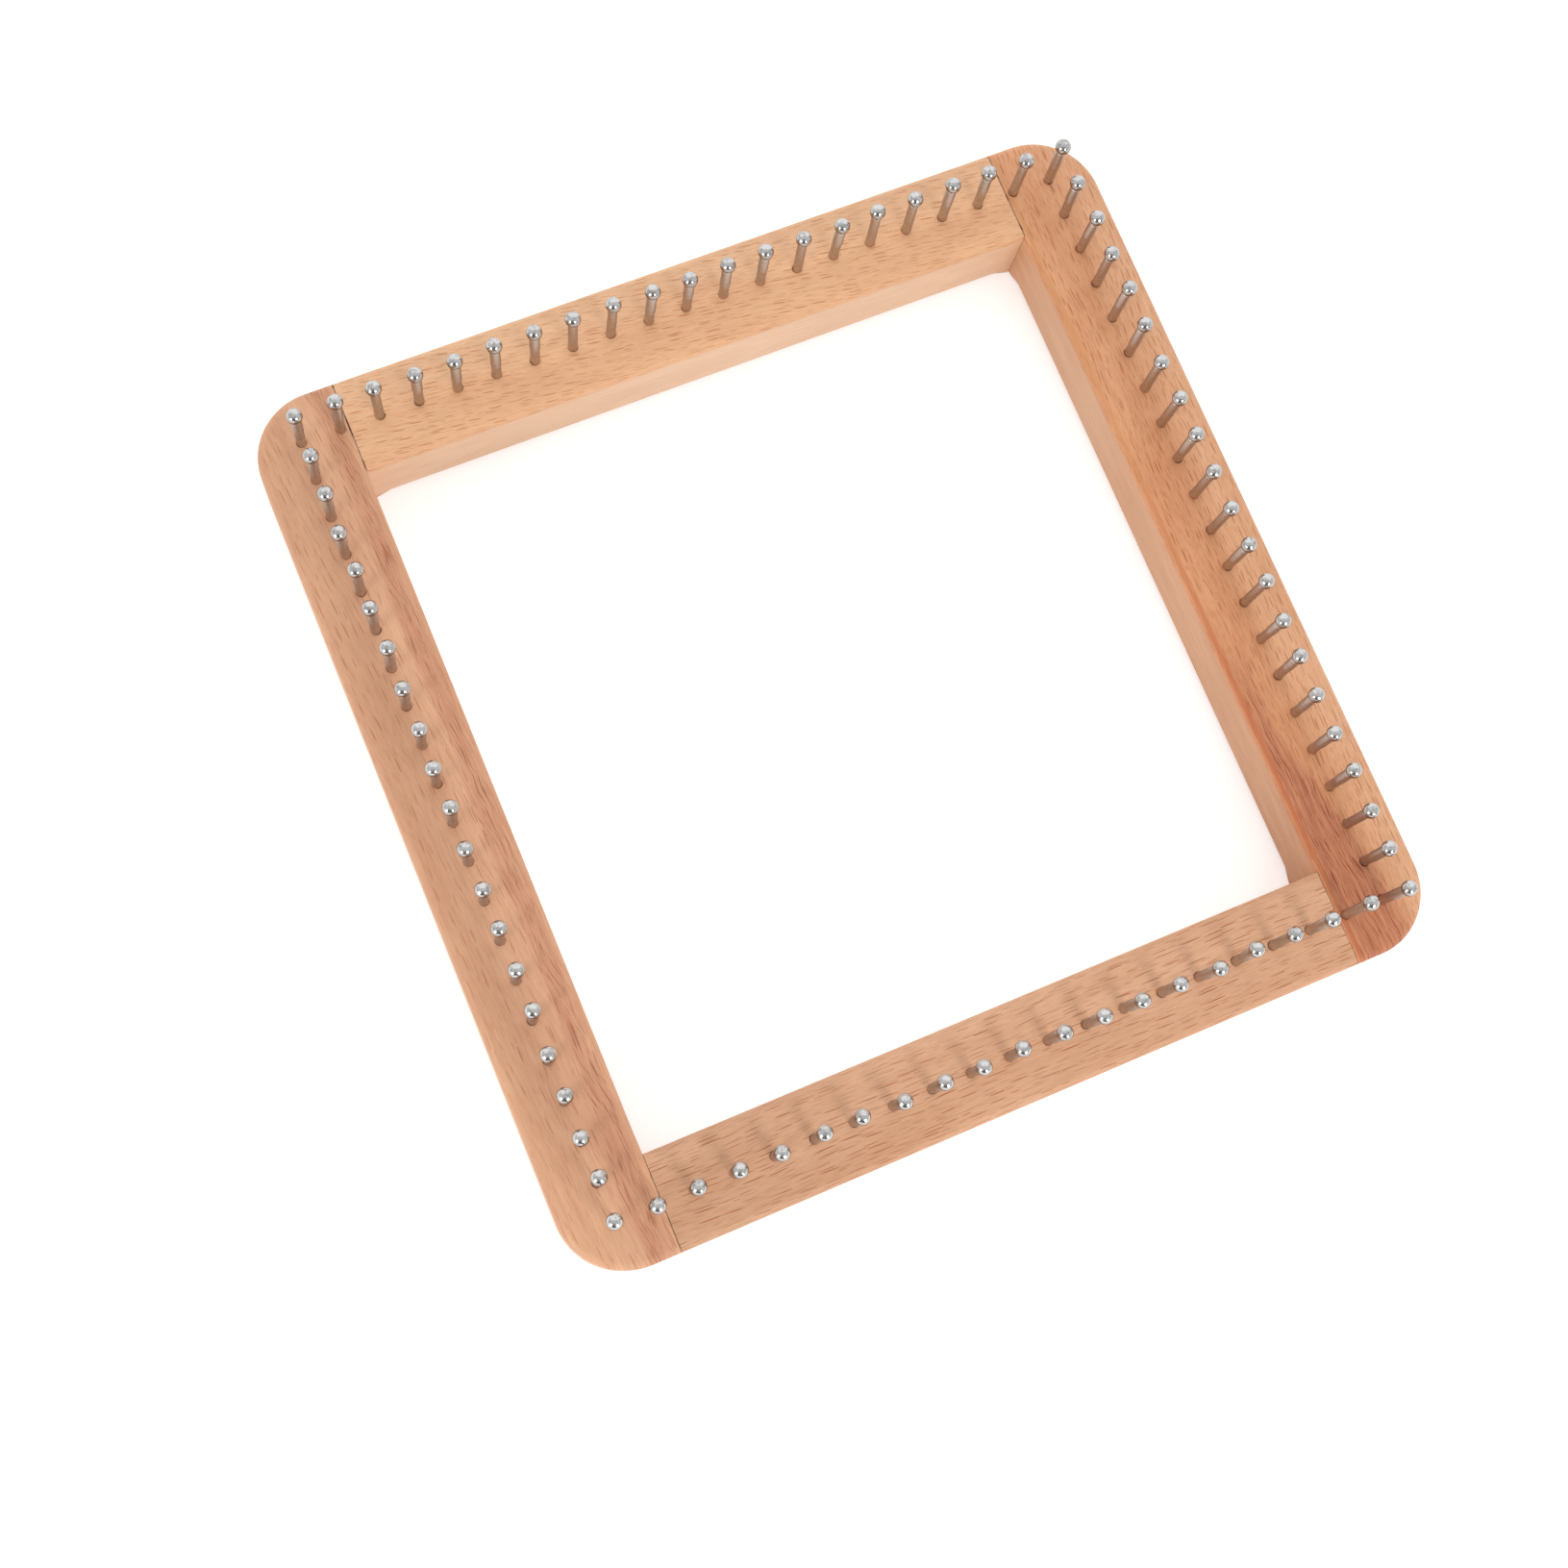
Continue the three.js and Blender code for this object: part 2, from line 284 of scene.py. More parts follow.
# Beech along X: a soft drift of tone, growth bands, streaks, fibres and the short dark ray flecks.
def makeBeechGrain():
    shape = grainShape
    tree, given, result = shaderGroup("beechGrain", {
        "Vector": "Vector", "Drop": "Float", "Face": "Float",
        "Pale": "Color", "Tan": "Color", "Streak": "Color", "Fleck": "Color",
        "Streak Amount": "Float", "Fleck Amount": "Float", "Fleck Strength": "Float",
        "Fleck Length": "Float", "Fleck Width": "Float", "Fleck Gap": "Float", "Fleck Reach": "Float",
    }, {"Color": "Color", "Height": "Float", "Flecks": "Float"})
    split = splitPlace(tree, given["Vector"])
    along = split["X"]
    straight = calc(tree, "ADD", split["Y"], given["Drop"])
    wander = calc(tree, "SUBTRACT", flatNoise(tree, along, straight, *grainNoise["wander"]), 0.5)
    across = calc(tree, "MULTIPLY_ADD", wander, shape["wander"], straight)

    drift = flatNoise(tree, along, across, *grainNoise["drift"])
    tone = blendColour(tree, ease(tree, drift, *grainRange["drift"]), given["Pale"], given["Tan"])

    # Growth rings lie about a pith below the board, so they curve on the end grain.
    fromPith = lengthOf(tree, joinPlace(
        tree, X=calc(tree, "MULTIPLY", along, shape["pithSlope"]), Y=split["Y"],
        Z=calc(tree, "ADD", split["Z"], shape["pithDepth"])))
    bands = flatNoise(tree, along, fromPith, *grainNoise["bands"])
    tone = blendColour(tree, ease(tree, bands, *grainRange["bands"]), tone, given["Tan"])

    streaks = flatNoise(tree, along, across, *grainNoise["streaks"])
    streaky = calc(tree, "MULTIPLY", ease(tree, streaks, *grainRange["streaks"]), given["Streak Amount"])
    tone = blendColour(tree, streaky, tone, given["Streak"])
    strokes = flatNoise(tree, along, across, *grainNoise["strokes"])
    strokes = calc(tree, "MULTIPLY", ease(tree, strokes, *grainRange["strokes"]), given["Face"])
    tone = blendColour(tree, calc(tree, "MULTIPLY", strokes, shape["strokeStrength"]), tone, given["Streak"])

    fibres = flatNoise(tree, along, across, *grainNoise["fibres"])
    shade = ease(tree, fibres, *grainRange["fibres"])
    grey = put(tree, "ShaderNodeCombineColor", {0: shade, 1: shade, 2: shade}).outputs[0]
    tone = blendColour(tree, 1.0, tone, grey, "MULTIPLY")

    main = fleckLayer(tree, along, across, given["Fleck Reach"], given["Fleck Gap"],
                      given["Fleck Length"], given["Fleck Width"], given["Fleck Amount"])
    smaller = [calc(tree, "MULTIPLY", given["Fleck " + part], fleckShape["fine" + part])
               for part in ("Reach", "Gap", "Length", "Width")]
    shiftAlong, shiftAcross = fleckShape["fineShift"]
    fine = fleckLayer(tree, calc(tree, "ADD", along, shiftAlong), calc(tree, "ADD", across, shiftAcross),
                      *smaller, given["Fleck Amount"])
    both = calc(tree, "MAXIMUM", main, calc(tree, "MULTIPLY", fine, fleckShape["fineDepth"]))
    flecks = calc(tree, "MULTIPLY", both, given["Face"])
    tone = blendColour(tree, calc(tree, "MULTIPLY", flecks, given["Fleck Strength"]), tone, given["Fleck"])

    lift = calc(tree, "MULTIPLY_ADD", flecks, -1.0, calc(tree, "MULTIPLY", fibres, shape["fibreLift"]))
    tree.links.new(tone, result["Color"])
    tree.links.new(lift, result["Height"])
    tree.links.new(flecks, result["Flecks"])
    return tree


heartNoise = {
    "wander": (38, 90, 2.0, 6.6), "broad": (34, 260, 2.0, 9.1), "fine": (55, 1100, 4.0, 2.2),
    "thin": (130, 3200, 3.0, 4.7),
}
heartRange = {"grainy": (0.30, 0.66, 0.45, 1.0), "thin": (0.54, 0.67, 0.0, 0.85)}
heartShape = {
    "wander": 0.0040, "fray": 0.004,
    "full": 0.45, "gone": 1.25,  # shares of its reach
}


# The red-brown heart: a band along a member, with its middle and its reach to each side, frayed into streaks.
def makeHeartwood():
    shape = heartShape
    tree, given, result = shaderGroup("heartwood", {
        "Vector": "Vector", "Drop": "Float", "Across": "Float", "Middle": "Float", "Reach": "Float",
    }, {"Mask": "Float", "Strokes": "Float"})
    split = splitPlace(tree, given["Vector"])
    level = calc(tree, "ADD", split["Y"], given["Drop"])
    wander = calc(tree, "SUBTRACT", flatNoise(tree, split["X"], level, *heartNoise["wander"]), 0.5)
    straight = calc(tree, "MULTIPLY_ADD", wander, shape["wander"], level)
    broad = flatNoise(tree, split["X"], straight, *heartNoise["broad"])
    fine = flatNoise(tree, split["X"], straight, *heartNoise["fine"])
    frayed = calc(tree, "MULTIPLY_ADD", calc(tree, "SUBTRACT", broad, 0.5), shape["fray"], given["Across"])
    frayed = calc(tree, "MULTIPLY_ADD", calc(tree, "SUBTRACT", fine, 0.5), shape["fray"], frayed)
    away = calc(tree, "ABSOLUTE", calc(tree, "SUBTRACT", frayed, given["Middle"]))
    start = calc(tree, "MULTIPLY", given["Reach"], shape["full"])
    end = calc(tree, "MULTIPLY", given["Reach"], shape["gone"])
    band = ease(tree, away, start, end, 1.0, 0.0)
    grainy = ease(tree, fine, *heartRange["grainy"])
    thin = ease(tree, flatNoise(tree, split["X"], straight, *heartNoise["thin"]), *heartRange["thin"])
    tree.links.new(calc(tree, "MULTIPLY", band, grainy), result["Mask"])
    tree.links.new(calc(tree, "MULTIPLY", band, thin), result["Strokes"])
    return tree


# Here and further down, a solid noise is given by its scale, its detail and its roughness if not 0.5.
seamShape = {
    "ragNoise": (900.0, 3.0), "jointRag": 0.00035, "holeRag": 0.0004,
    "patchNoise": (260.0, 2.0), "patchRange": (0.42, 0.60, 0.30, 1.0),
    "core": 0.4,  # the share of a joint line's width that is full
    "cornerEase": 0.0002, "holeEase": 0.00025, "holeRadius": 0.00125, "holeDepth": 0.0095,
}


# Dirt and crushed fibre at the glued joints and round the mouths of the pin holes.
def makeSeams():
    shape = seamShape
    tree, given, result = shaderGroup("seams", {
        "Vector": "Vector", "Joint At": "Float", "Joint Width": "Float", "Row At": "Float",
        "Pitch": "Float", "Face At": "Float",
    }, {"Joint": "Float", "Hole": "Float"})
    split = splitPlace(tree, given["Vector"])
    farX = calc(tree, "ABSOLUTE", split["X"])
    farY = calc(tree, "ABSOLUTE", split["Y"])
    rough = calc(tree, "SUBTRACT", solidNoise(tree, given["Vector"], *shape["ragNoise"]), 0.5)

    toJoint = calc(tree, "ABSOLUTE", calc(tree, "SUBTRACT", farX, given["Joint At"]))
    toJoint = calc(tree, "MULTIPLY_ADD", rough, -shape["jointRag"], toJoint)
    narrow = calc(tree, "MULTIPLY", given["Joint Width"], shape["core"])
    line = ease(tree, toJoint, narrow, given["Joint Width"], 1.0, 0.0)
    patchy = solidNoise(tree, given["Vector"], *shape["patchNoise"])
    line = calc(tree, "MULTIPLY", line, ease(tree, patchy, *shape["patchRange"]))
    corner = ease(tree, farY, given["Joint At"], calc(tree, "ADD", given["Joint At"], shape["cornerEase"]))
    tree.links.new(calc(tree, "MULTIPLY", line, corner), result["Joint"])

    def nearestPin(coordinate):
        shifted = calc(tree, "MULTIPLY_ADD", given["Pitch"], 0.5, coordinate)
        snapped = calc(tree, "SNAP", shifted, given["Pitch"])
        snapped = calc(tree, "MINIMUM", snapped, given["Row At"])
        snapped = calc(tree, "MAXIMUM", snapped, calc(tree, "MULTIPLY", given["Row At"], -1.0))
        return calc(tree, "SUBTRACT", coordinate, snapped)

    def toPinOf(alongRow, fromMiddle):
        fromRow = calc(tree, "SUBTRACT", fromMiddle, given["Row At"])
        return lengthOf(tree, joinPlace(tree, X=nearestPin(alongRow), Y=fromRow))

    toPin = calc(tree, "MINIMUM", toPinOf(split["X"], farY), toPinOf(split["Y"], farX))
    toPin = calc(tree, "MULTIPLY_ADD", rough, -shape["holeRag"], toPin)
    rim = ease(tree, toPin, shape["holeRadius"], shape["holeRadius"] + shape["holeEase"], 1.0, 0.0)
    bottom = calc(tree, "SUBTRACT", given["Face At"], shape["holeDepth"])
    nearFace = calc(tree, "GREATER_THAN", split["Z"], bottom)
    tree.links.new(calc(tree, "MULTIPLY", rim, nearFace), result["Hole"])
    return tree


beechGrain = makeBeechGrain()
heartwood = makeHeartwood()
seams = makeSeams()
print("shader groups made")


# Colours are as seen on a screen, 0 to 255. The tilt is of the grain against the member, in degrees.
stileLook = {
    "left": {
        "pale": (227, 175, 138), "tan": (215, 161, 126), "streak": (198, 132, 98), "fleck": (164, 84, 38),
        "outerGain": (0.97, 0.945, 0.92), "innerLowGain": (0.975, 0.965, 0.965),
        "wallPale": (234, 188, 150), "wallTan": (224, 176, 138),
        "heart": (198, 132, 99), "heartStroke": (134, 58, 26), "heartAmount": (0.63, 0.62),
        "heartMiddle": (0.0036, 0.0046), "heartReach": (0.0028, 0.0046), "heartTilt": -4.0,
        "edgeHigh": (226, 168, 126), "edgeLow": (226, 168, 126), "edgeAmount": (0.25, 0.25),
        "streakAmount": 0.22, "fleckAmount": 0.66, "fleckStrength": 0.50, "fleckLength": 0.0042,
        "fleckWidth": 0.00028, "fleckGap": 0.00165, "fleckReach": 0.0060,
        "tilt": -4.5, "shift": (0.31, 0.13, 0.0),
    },
    "right": {
        "pale": (232, 170, 126), "tan": (221, 156, 111), "streak": (203, 130, 86), "fleck": (174, 84, 30),
        "outerGain": (0.98, 1.08, 1.19), "innerLowGain": (0.96, 0.90, 0.86),
        "wallPale": (224, 180, 144), "wallTan": (216, 170, 135),
        "heart": (186, 112, 80), "heartStroke": (134, 54, 22), "heartAmount": (0.0, 0.92),
        "heartMiddle": (0.0028, 0.0082), "heartReach": (0.0030, 0.0088), "heartTilt": -2.5,
        "edgeHigh": (214, 150, 98), "edgeLow": (195, 110, 65), "edgeAmount": (0.65, 0.75),
        "streakAmount": 0.22, "fleckAmount": 0.80, "fleckStrength": 0.72, "fleckLength": 0.0035,
        "fleckWidth": 0.00025, "fleckGap": 0.00100, "fleckReach": 0.0046,
        "tilt": 0.5, "shift": (0.77, 0.41, 0.0),
    },
}
railLook = {
    "top": {
        "pale": (241, 188, 143), "tan": (234, 179, 136), "streak": (221, 157, 111), "fleck": (186, 100, 40),
        "outerGain": (0.97, 1.02, 1.07), "leftEndShade": 1.0,
        "wallPale": (242, 205, 173), "wallTan": (236, 198, 165),
        "streakAmount": 0.18, "fleckAmount": 0.76, "fleckStrength": 0.66, "fleckLength": 0.0035,
        "fleckWidth": 0.00025, "fleckGap": 0.00105, "fleckReach": 0.0047,
        "tilt": 7.5, "shift": (0.05, 0.29, 0.0),
    },
    "bottom": {
        "pale": (227, 176, 140), "tan": (218, 165, 128), "streak": (204, 146, 108), "fleck": (166, 82, 34),
        # The end gain darkens the rail towards its left end: painted shade.
        "outerGain": (0.945, 0.92, 0.89), "leftEndShade": 0.90,
        "wallPale": (240, 200, 162), "wallTan": (232, 190, 152),
        "streakAmount": 0.16, "fleckAmount": 0.84, "fleckStrength": 0.82, "fleckLength": 0.0050,
        "fleckWidth": 0.00022, "fleckGap": 0.00115, "fleckReach": 0.0062,
        "tilt": 0.5, "shift": (0.53, 0.07, 0.0),
    },
}
grimeColour = {"joint": (88, 50, 34), "hole": (96, 54, 36)}
jointGrime = {
    "topLeft": 0.80, "topRight": 1.0, "bottomLeft": 0.50, "bottomRight": 0.38,
    "width": (0.00016, 0.00034),  # where it is faint and where it is full
    "widthRange": (0.3, 1.0), "holeStrength": 0.15,
}
# Pairs are where a change along a member, across it from the window or below a face starts and ends.
# Shares are what is left of the face's grain and of the heart on the walls.
zones = {
    "faceDepth": (0.0008, 0.0032), "wallShare": 0.12,
    "outerHalf": (0.009, 0.021), "innerHalf": (0.015, 0.009),
    "corners": (-0.010, 0.010), "lowEnd": (0.045, 0.015), "leftEnd": (-0.010, -0.085),
    "edgeStart": (0.0001, 0.0007), "edgeEnd": (0.0019, 0.0011), "heartWall": (0.0001, 0.0012),
    "heartWallShare": 0.25,
}
# Where the heart and the window's edge change, as shares of the way from the middle to the lower end.
heartRun = {
    "widens": (0.38, 1.0), "deepens": (0.18, 0.52), "edgeDeepens": (0.0, 0.6), "edgeTone": (-0.5, 0.3),
}
beechFinish = {
    "roughness": 0.52, "dullRoughness": 0.25, "fleckRoughness": 0.18, "index": 1.45,
    "dullDepth": 1.2, "bumpStrength": 0.35, "bumpDistance": 0.00008,
}


# Where the grain of the two faces shows: 1 on them and over their round-overs, less down the walls.
def nearFaces(tree, place):
    height = splitPlace(tree, place)["Z"]
    fromMiddle = calc(tree, "ABSOLUTE", calc(tree, "SUBTRACT", height, faceHeight / 2))
    below = calc(tree, "SUBTRACT", faceHeight / 2, fromMiddle)
    return ease(tree, below, *zones["faceDepth"], 1.0, zones["wallShare"])


# The way to the nearer face, signed so that the grain runs on round every edge of a member.
# It fades on the end walls, where the grain stands upright.
def dropFrom(tree, place, across, along):
    height = splitPlace(tree, place)["Z"]
    fromRow = calc(tree, "SUBTRACT", calc(tree, "ABSOLUTE", across), rowAt)
    side = calc(tree, "MULTIPLY", calc(tree, "SIGN", fromRow), calc(tree, "SIGN", across))
    end = boardShape["half"] - boardShape["roundOver"]
    fading = ease(tree, calc(tree, "ABSOLUTE", along), rowAt, end, 1.0, 0.0)
    toFace = calc(tree, "MINIMUM", height, calc(tree, "SUBTRACT", faceHeight, height))
    return calc(tree, "MULTIPLY", calc(tree, "MULTIPLY", side, toFace), fading)


# How dirty the joint of the nearest corner is.
def jointDirt(tree, place):
    split, across = splitPlace(tree, place), zones["corners"]
    left = ease(tree, split["Y"], *across, jointGrime["bottomLeft"], jointGrime["topLeft"])
    right = ease(tree, split["Y"], *across, jointGrime["bottomRight"], jointGrime["topRight"])
    return ease(tree, split["X"], *across, left, right)


# Tones the half of a member that lies beyond its pin row.
def outerHalf(tree, across, gain, colour):
    start, end = zones["outerHalf"]
    away = ease(tree, across, boardShape["windowHalf"] + start, boardShape["windowHalf"] + end)
    return blendColour(tree, away, colour, (*gain, 1.0), "MULTIPLY")


def finishBeech(tree, surface, colour, grain, place):
    finish = beechFinish
    dirt = jointDirt(tree, place)
    width = ease(tree, dirt, *jointGrime["widthRange"], *jointGrime["width"])
    marks = useGroup(tree, seams, {
        "Vector": place, "Joint At": boardShape["windowHalf"], "Joint Width": width,
        "Row At": rowAt, "Pitch": pinLayout["pitch"], "Face At": faceHeight})
    grimy = calc(tree, "MULTIPLY", marks["Joint"], dirt)
    colour = blendColour(tree, grimy, colour, toLinear(*grimeColour["joint"]))
    sooty = calc(tree, "MULTIPLY", marks["Hole"], jointGrime["holeStrength"])
    colour = blendColour(tree, sooty, colour, toLinear(*grimeColour["hole"]))
    dull = calc(tree, "MAXIMUM", marks["Joint"], marks["Hole"])
    rough = calc(tree, "MULTIPLY_ADD", dull, finish["dullRoughness"], finish["roughness"])
    rough = calc(tree, "MULTIPLY_ADD", grain["Flecks"], finish["fleckRoughness"], rough)
    height = calc(tree, "MULTIPLY_ADD", dull, -finish["dullDepth"], grain["Height"])
    addSurface(tree, surface, finish, height, {
        "Base Color": colour, "Roughness": rough, "IOR": finish["index"]})


def grainSockets(look, tree, place, vector, drop):
    face = nearFaces(tree, place)
    return {
        "Vector": vector, "Drop": drop, "Face": face,
        "Pale": blendColour(tree, face, toLinear(*look["wallPale"]), toLinear(*look["pale"])),
        "Tan": blendColour(tree, face, toLinear(*look["wallTan"]), toLinear(*look["tan"])),
        "Streak": toLinear(*look["streak"]), "Fleck": toLinear(*look["fleck"]),
        "Streak Amount": look["streakAmount"], "Fleck Amount": look["fleckAmount"],
        "Fleck Strength": look["fleckStrength"],
        "Fleck Length": look["fleckLength"], "Fleck Width": look["fleckWidth"],
        "Fleck Gap": look["fleckGap"], "Fleck Reach": look["fleckReach"],
    }


def turnedPlace(tree, place, degrees, shift):
    sockets = {"Vector": place, "Rotation": (0, 0, math.radians(degrees)), "Location": shift}
    return put(tree, "ShaderNodeMapping", sockets).outputs[0]


def railMaterial(side):
    look = railLook[side]
    material, tree, place, surface = newMaterial(side + "RailBeech")
    turned = turnedPlace(tree, place, look["tilt"], look["shift"])
    split = splitPlace(tree, place)
    drop = dropFrom(tree, place, split["Y"], split["X"])
    grain = useGroup(tree, beechGrain, grainSockets(look, tree, place, turned, drop))
    colour = outerHalf(tree, calc(tree, "ABSOLUTE", split["Y"]), look["outerGain"], grain["Color"])
    # Towards its left end the rail is multiplied darker: painted shade.
    atLeftEnd = ease(tree, split["X"], *zones["leftEnd"])
    colour = blendColour(tree, atLeftEnd, colour, (*[look["leftEndShade"]] * 3, 1.0), "MULTIPLY")
    finishBeech(tree, surface, colour, grain, place)
    return material


def stileMaterial(side):
    look = stileLook[side]
    material, tree, place, surface = newMaterial(side + "StileBeech")
    turned = turnedPlace(tree, place, -90 + look["tilt"], look["shift"])
    split = splitPlace(tree, place)
    drop = calc(tree, "MULTIPLY", dropFrom(tree, place, split["X"], split["Y"]), -1.0)
    grain = useGroup(tree, beechGrain, grainSockets(look, tree, place, turned, drop))
    farX = calc(tree, "ABSOLUTE", split["X"])
    fromWindow = calc(tree, "SUBTRACT", farX, boardShape["windowHalf"])
    toned = outerHalf(tree, farX, look["outerGain"], grain["Color"])
    inner = ease(tree, fromWindow, *zones["innerHalf"])
    lowInner = calc(tree, "MULTIPLY", inner, ease(tree, split["Y"], *zones["lowEnd"]))
    toned = blendColour(tree, lowInner, toned, (*look["innerLowGain"], 1.0), "MULTIPLY")

    def downTo(run):
        return [-boardShape["half"] * share for share in heartRun[run]]

    middle = ease(tree, split["Y"], *downTo("widens"), *look["heartMiddle"])
    reach = ease(tree, split["Y"], *downTo("widens"), *look["heartReach"])
    amount = ease(tree, split["Y"], *downTo("deepens"), *look["heartAmount"])
    offWall = ease(tree, fromWindow, *zones["heartWall"], zones["heartWallShare"], 1.0)
    amount = calc(tree, "MULTIPLY", amount, offWall)
    heartTurned = turnedPlace(tree, place, -90 + look["heartTilt"], look["shift"])
    heart = useGroup(tree, heartwood, {
        "Vector": heartTurned, "Drop": drop, "Across": fromWindow, "Middle": middle, "Reach": reach})
    colour = blendColour(tree, calc(tree, "MULTIPLY", heart["Mask"], amount), toned, toLinear(*look["heart"]))
    colour = blendColour(tree, calc(tree, "MULTIPLY", heart["Strokes"], amount), colour,
                         toLinear(*look["heartStroke"]))

    # The strip along the window's edge at the face is of another tone.
    edgeAmount = ease(tree, split["Y"], *downTo("edgeDeepens"), *look["edgeAmount"])
    onEdge = calc(tree, "MULTIPLY", ease(tree, fromWindow, *zones["edgeStart"]),
                  ease(tree, fromWindow, *zones["edgeEnd"]))
    edge = blendColour(tree, ease(tree, split["Y"], *downTo("edgeTone")),
                       toLinear(*look["edgeHigh"]), toLinear(*look["edgeLow"]))
    colour = blendColour(tree, calc(tree, "MULTIPLY", onEdge, edgeAmount), colour, edge)
    finishBeech(tree, surface, colour, grain, place)
    return material


boardShape = {
    "half": cadHigh.x,
    "windowHalf": 0.088,
    "cornerRadius": 0.017,
    "roundOver": 0.002,  # on the outer edges, and on the window's edge at the face
    "backRoundOver": 0.0035,  # on the window's edge at the back
    "bearingRadius": 0.0055,  # of the router bits that ran round the window
    "glueLine": 0.0001,
    "cornerFacets": 26,
    "edgeFacets": 8,
    "routerGap": 0.00005,  # keeps the bit's shank off the window's walls
    "overrun": 0.002,  # of cutters past the faces they open
    "sharpDegrees": 35,
    "flatWeight": 100,  # of the large faces over the small ones in the shading
}


def roundedLoop(half, radius, z, facets):
    middle = half - radius
    loop = []
    for quarter in range(4):
        first = quarter * math.pi / 2
        right = 1 if quarter in (0, 3) else -1
        up = 1 if quarter in (0, 1) else -1
        for i in range(facets + 1):
            angle = first + i / facets * math.pi / 2
            x = right * middle + radius * math.cos(angle)
            y = up * middle + radius * math.sin(angle)
            loop.append((x, y, z))
    return loop


def boardBlank():
    shape = boardShape
    loops = []
    for i in range(shape["edgeFacets"] + 1):
        angle = i / shape["edgeFacets"] * math.pi / 2
        inset = shape["roundOver"] * (1 - math.sin(angle))
        z = shape["roundOver"] * (1 - math.cos(angle))
        loops.append((inset, z))
    loops += [(inset, faceHeight - z) for inset, z in reversed(loops)]
    return stackLoops("boardBlank", [
        roundedLoop(shape["half"] - inset, shape["cornerRadius"] - inset, z, shape["cornerFacets"])
        for inset, z in loops])


def windowBit():
    shape = boardShape

    # Pairs of how far the bit cuts out and how far that is below a face, from beyond the face inwards.
    def flareLevels(radius):
        flare = radius + shape["routerGap"]
        levels = [(flare, -shape["overrun"])]
        for i in range(shape["edgeFacets"] + 1):
            angle = (1 - i / shape["edgeFacets"]) * math.pi / 2
            levels.append((flare * (1 - math.cos(angle)), radius * (1 - math.sin(angle))))
        return levels

    levels = flareLevels(shape["backRoundOver"])
    levels += [(out, faceHeight - z) for out, z in reversed(flareLevels(shape["roundOver"]))]
    half = shape["windowHalf"] - shape["routerGap"]
    return stackLoops("windowBit", [
        roundedLoop(half + out, shape["bearingRadius"] + out, z, shape["cornerFacets"]) for out, z in levels])


def memberBox(side):
    shape = boardShape
    over, out, win = shape["overrun"], shape["half"] + shape["overrun"], shape["windowHalf"]
    railEnd = win - shape["glueLine"]
    low, high = {
        "left": ((-out, -out), (-win, out)),
        "right": ((win, -out), (out, out)),
        "top": ((-railEnd, win), (railEnd, out)),
        "bottom": ((-railEnd, -out), (railEnd, -win)),
    }[side]
    floor, ceiling = -over, faceHeight + over
    corners = [(low[0], low[1]), (high[0], low[1]), (high[0], high[1]), (low[0], high[1])]
    return stackLoops(side + "Share", [[(x, y, z) for x, y in corners] for z in (floor, ceiling)])


holeShape = {"diameter": 0.00246, "depth": 0.0093, "sides": 32}


# A point for every pin, on the square that the four rows make.
def pinPoints(tree, given):
    steps = calc(tree, "SUBTRACT", given["Pins Per Side"], 1.0)
    side = calc(tree, "MULTIPLY", steps, given["Pitch"])
    square = put(tree, "GeometryNodeCurvePrimitiveQuadrilateral", {"Width": side, "Height": side})
    count = calc(tree, "MULTIPLY", steps, 4.0)
    return put(tree, "GeometryNodeResampleCurve", {"Curve": square.outputs[0], "Count": count}).outputs[0]


def makeHoleTree():
    tree = bpy.data.node_groups.new("pinHoles", "GeometryNodeTree")
    names = makeSockets(tree, {
        "Wood": "Geometry", "Pins Per Side": "Int", "Pitch": "Float", "Hole Diameter": "Float",
        "Hole Depth": "Float", "Face Height": "Float", "Material": "Material",
    }, {"Wood": "Geometry"})
    given = tree.nodes.new("NodeGroupInput").outputs
    radius = calc(tree, "MULTIPLY", given["Hole Diameter"], 0.5)
    length = calc(tree, "MULTIPLY", given["Hole Depth"], 2.0)
    drill = put(tree, "GeometryNodeMeshCylinder", {
        "Vertices": holeShape["sides"], "Radius": radius, "Depth": length}).outputs["Mesh"]
    placed = put(tree, "GeometryNodeTransform", {
        "Geometry": drill, "Translation": joinPlace(tree, Z=given["Face Height"])}).outputs[0]
    drills = put(tree, "GeometryNodeInstanceOnPoints", {"Points": pinPoints(tree, given), "Instance": placed})
    solid = put(tree, "GeometryNodeRealizeInstances", {"Geometry": drills.outputs[0]}).outputs[0]
    bored = put(tree, "GeometryNodeMeshBoolean", {"Mesh 1": given["Wood"], "Mesh 2": solid},
                operation="DIFFERENCE", solver="EXACT").outputs["Mesh"]
    real = put(tree, "GeometryNodeRealizeInstances", {"Geometry": bored}).outputs[0]
    sockets = {"Geometry": real, "Material": given["Material"]}
    finished = put(tree, "GeometryNodeSetMaterial", sockets).outputs[0]
    tree.links.new(finished, tree.nodes.new("NodeGroupOutput").inputs["Wood"])
    return tree, names


def addTree(piece, tree, names, values):
    modifier = piece.modifiers.new(tree.name, "NODES")
    modifier.node_group = tree
    for label, value in values.items():
        modifier[names[label]] = value


def cutWith(piece, tool, operation):
    cut = piece.modifiers.new(operation.lower(), "BOOLEAN")
    cut.operation, cut.object, cut.solver = operation, tool, "EXACT"


